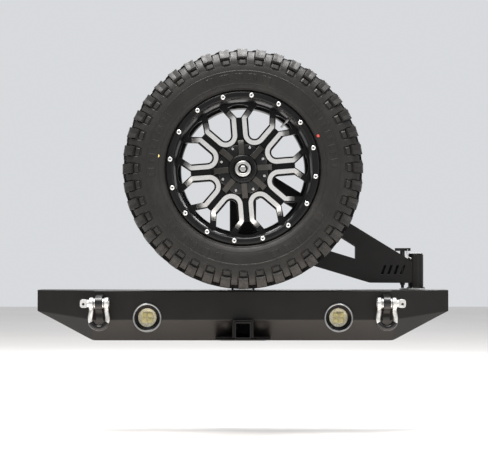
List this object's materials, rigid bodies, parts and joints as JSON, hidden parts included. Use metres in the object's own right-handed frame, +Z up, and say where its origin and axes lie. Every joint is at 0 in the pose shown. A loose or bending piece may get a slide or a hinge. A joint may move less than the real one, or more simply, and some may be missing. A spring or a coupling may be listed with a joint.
{
  "type": "swing-out spare tire carrier",
  "caption": "Folded steel rear bumper with a swing-out arm on a vertical spindle that carries a mounted spare wheel, plus a hitch receiver, recovery shackles and round fog lights.",
  "frame": {"origin": "centre of the face that bolts to the vehicle's frame crossmember", "axes": "+X to the right seen from behind the vehicle, +Y forward towards the vehicle and out of the bolted face, +Z up"},
  "size_m": [1.544, 0.453, 1.064],
  "materials": {
    "powder_coat": "satin black powder coat on steel plate",
    "zinc": "zinc plated",
    "galvanized": "galvanized forging",
    "bearing_steel": "ground steel",
    "rubber": "matte black rubber",
    "tire_rubber": "mud-terrain tire",
    "wheel_paint": "gloss black wheel with machined faces",
    "lamp_bezel": "satin bezel",
    "lamp_body": "satin black die casting",
    "lamp_lens": "clear lens"
  },
  "bodies": {
    "bumper": {"center_channel": "powder_coat", "wing_left": "powder_coat", "wing_right": "powder_coat", "crossmember_plate": "powder_coat", "frame_bracket_left": "powder_coat", "frame_bracket_right": "powder_coat", "receiver_tube": "powder_coat", "receiver_collar": "powder_coat", "safety_chain_plate": "powder_coat", "shackle_tab_left": "powder_coat", "shackle_tab_right": "powder_coat", "fog_light_bezel_left": "lamp_bezel", "fog_light_bezel_right": "lamp_bezel", "fog_light_housing_left": "lamp_body", "fog_light_housing_right": "lamp_body", "fog_light_lens_left": "lamp_lens", "fog_light_lens_right": "lamp_lens", "spindle": "bearing_steel", "spindle_base": "powder_coat", "spindle_nut": "zinc", "detent_plate": "zinc", "latch_keeper": "powder_coat", "bump_stop": "rubber"},
    "carrier": {"hinge_tube": "powder_coat", "lower_bearing": "bearing_steel", "upper_bearing": "bearing_steel", "dust_cap": "rubber", "hold_open_guide": "zinc", "arm_outer_plate": "powder_coat", "arm_inner_plate": "powder_coat", "lower_web": "powder_coat", "upper_web": "powder_coat", "post_web": "powder_coat", "window_web": "powder_coat", "mount_tube": "powder_coat", "wheel_mount_plate": "zinc", "latch_housing": "zinc", "latch_spring": "bearing_steel", "spare_tire": "tire_rubber", "wheel_rim": "wheel_paint", "wheel_spokes": "wheel_paint", "valve_stem": "zinc", "rim_ring": "wheel_paint", "center_cap": "wheel_paint", "lug_nut_1": "zinc", "lug_nut_2": "zinc", "lug_nut_3": "zinc", "lug_nut_4": "zinc", "lug_nut_5": "zinc"},
    "latch": {"latch_bolt": "zinc", "latch_grip": "rubber"},
    "hold_open": {"hold_open_pin": "zinc", "hold_open_handle": "powder_coat", "hold_open_clip": "zinc"},
    "shackle_left": {"shackle_bow_left": "galvanized", "shackle_pin_left": "galvanized", "shackle_isolator_left": "rubber"},
    "shackle_right": {"shackle_bow_right": "galvanized", "shackle_pin_right": "galvanized", "shackle_isolator_right": "rubber"}
  },
  "joints": [
    {"name": "carrier_swing", "type": "hinge", "parent": "bumper", "child": "carrier", "pos_m": [0.657, -0.095, 0.165], "axis": [0, 0, 1], "range_deg": [0, 95]},
    {"name": "latch_lift", "type": "slide", "parent": "carrier", "child": "latch", "axis": [0, 0, 1], "range_m": [0, 0.026], "stiffness_N_per_m": 1200, "springref_m": -0.03, "deforming": ["latch_spring"]},
    {"name": "hold_open_lift", "type": "slide", "parent": "carrier", "child": "hold_open", "axis": [0, 0, 1], "range_m": [0, 0.014], "stiffness_N_per_m": 600, "springref_m": -0.012},
    {"name": "shackle_left_pivot", "type": "hinge", "parent": "bumper", "child": "shackle_left", "pos_m": [-0.528, -0.286, 0.042], "axis": [1, 0, 0], "range_deg": [-100, 8]},
    {"name": "shackle_right_pivot", "type": "hinge", "parent": "bumper", "child": "shackle_right", "pos_m": [0.528, -0.286, 0.042], "axis": [1, 0, 0], "range_deg": [-100, 8]}
  ]
}
